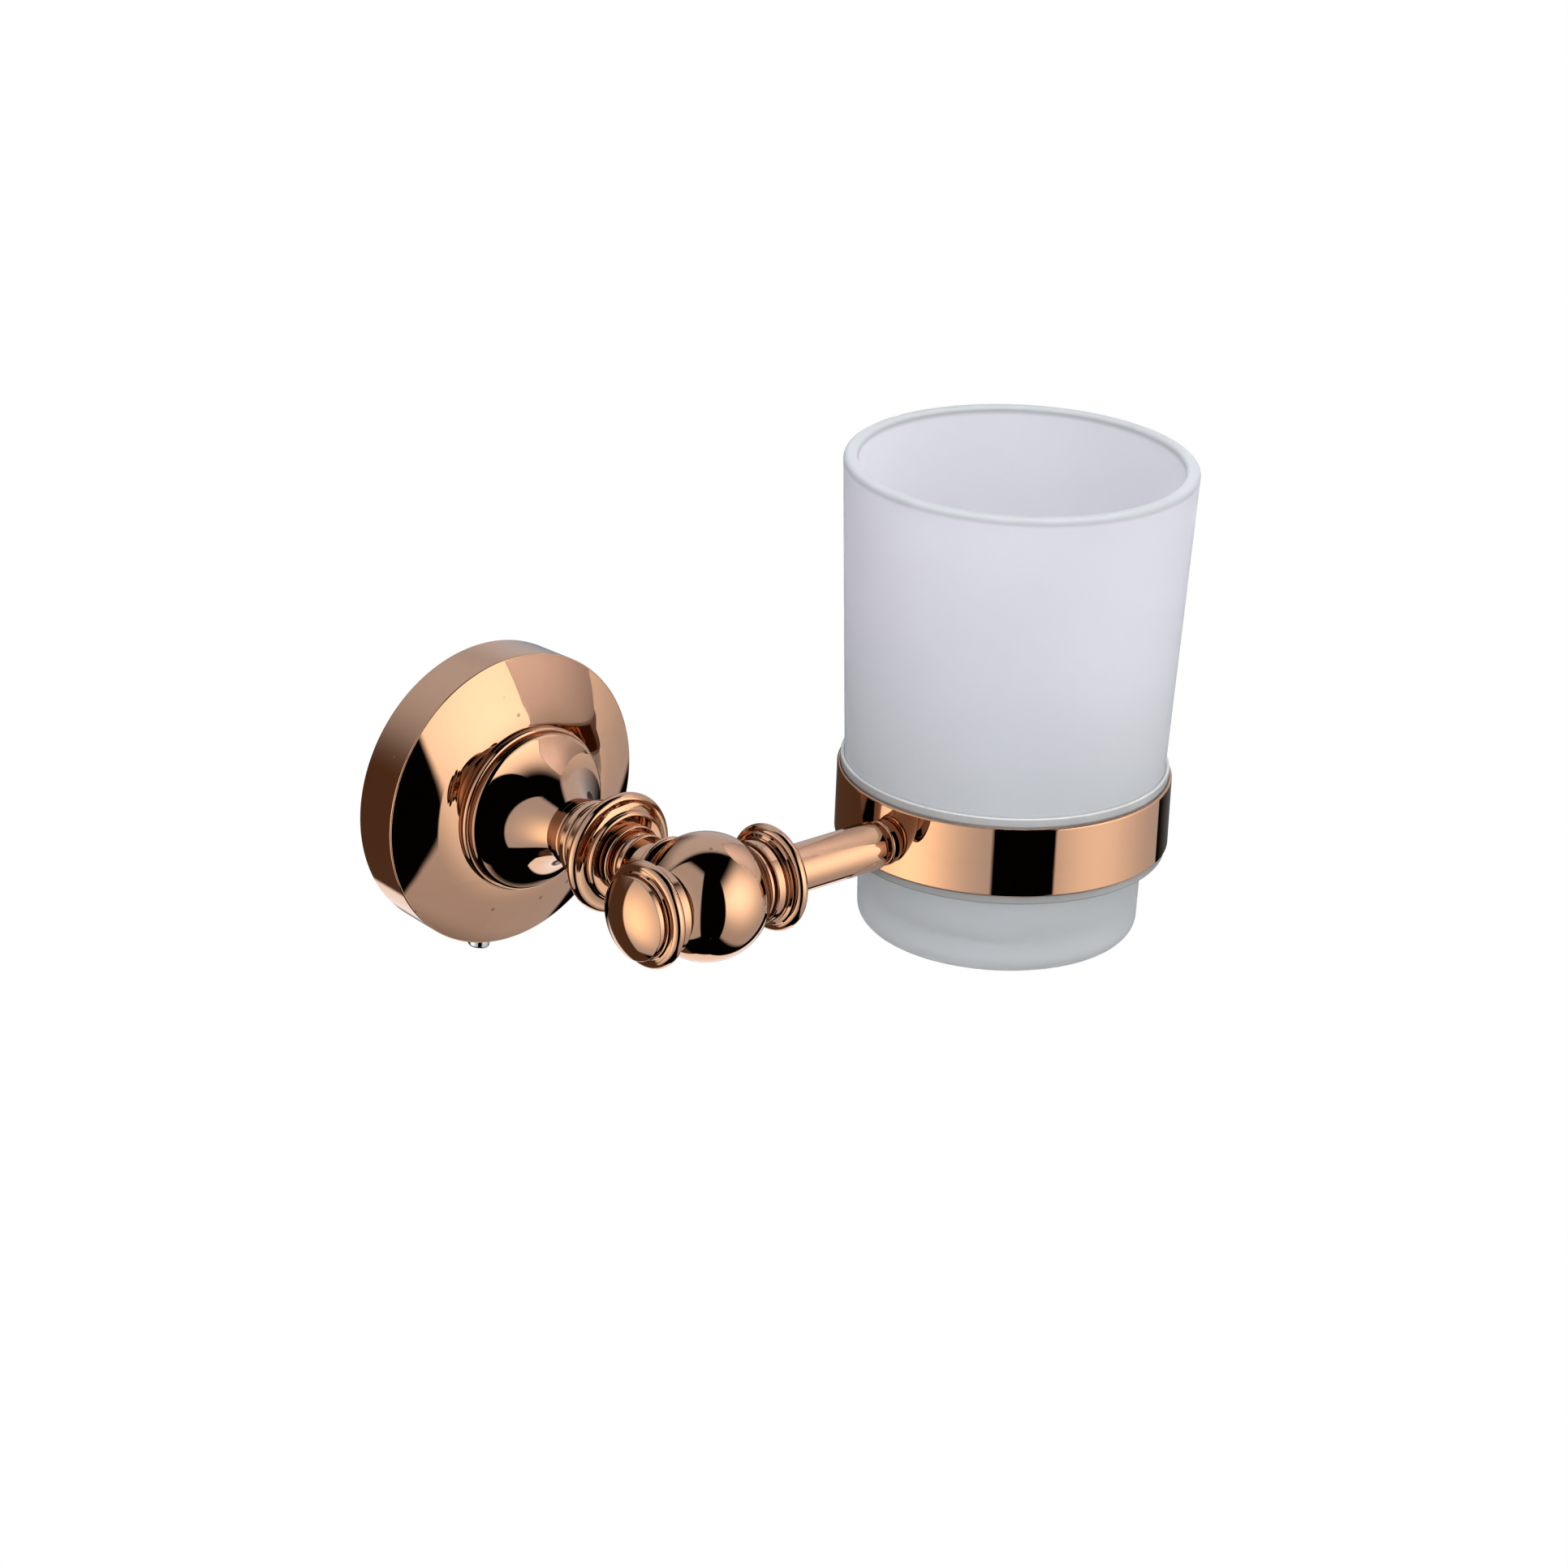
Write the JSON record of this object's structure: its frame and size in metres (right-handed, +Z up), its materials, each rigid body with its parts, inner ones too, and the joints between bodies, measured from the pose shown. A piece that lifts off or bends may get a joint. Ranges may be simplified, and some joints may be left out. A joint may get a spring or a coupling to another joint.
{
  "type": "wall-mounted tumbler holder",
  "caption": "Polished wall-mounted holder: round flange, turned post, ball with a side arm and a hoop that carries a frosted glass tumbler.",
  "frame": {"origin": "centre of the wall bracket's back face, on the wall", "axes": "+Z up, -Y out of the wall along the post, +X from the ball along the arm to the hoop"},
  "size_m": [0.1426, 0.1027, 0.104],
  "materials": {
    "rose_gold": "rose-gold plated, mirror polished",
    "bright_steel": "bright",
    "bracket_zinc": "zinc, satin",
    "clear_plastic": "translucent, satin",
    "frosted_glass": "frosted all over, clear rim edge"
  },
  "bodies": {
    "holder": {"wall_bracket": "bracket_zinc", "flange_shell": "rose_gold", "bead_ring": "rose_gold", "dome_boss": "rose_gold", "neck_sleeve": "rose_gold", "post_collar": "rose_gold", "step_cone": "rose_gold", "post_neck": "rose_gold", "ball_seat_ring": "rose_gold", "post_stud": "bright_steel", "post_nut": "bright_steel", "lock_washer": "bright_steel", "ball_hub": "rose_gold", "finial_ring": "rose_gold", "finial_disc": "rose_gold", "finial_cap": "rose_gold", "cross_stud": "bright_steel", "arm_seat_ring": "rose_gold", "arm_band_ring": "rose_gold", "arm_disc": "rose_gold", "arm_rod": "rose_gold", "arm_tip_washer": "rose_gold", "ring_screw": "bright_steel", "ring_band": "rose_gold"},
    "liner": {"liner_ring": "clear_plastic"},
    "tumbler": {"tumbler": "frosted_glass"},
    "set_screw": {"set_screw": "bright_steel"}
  },
  "joints": [
    {"name": "liner_turn", "type": "hinge", "parent": "holder", "child": "liner", "pos_m": [0.078, -0.0681, 0], "axis": [0, 0, 1], "continuous": true},
    {"name": "tumbler_lift", "type": "slide", "parent": "liner", "child": "tumbler", "axis": [0, 0, 1], "range_m": [0, 0.05]},
    {"name": "set_screw_back_out", "type": "slide", "parent": "holder", "child": "set_screw", "axis": [-0.1392, 0, -0.9903], "range_m": [0, 0.003]}
  ]
}
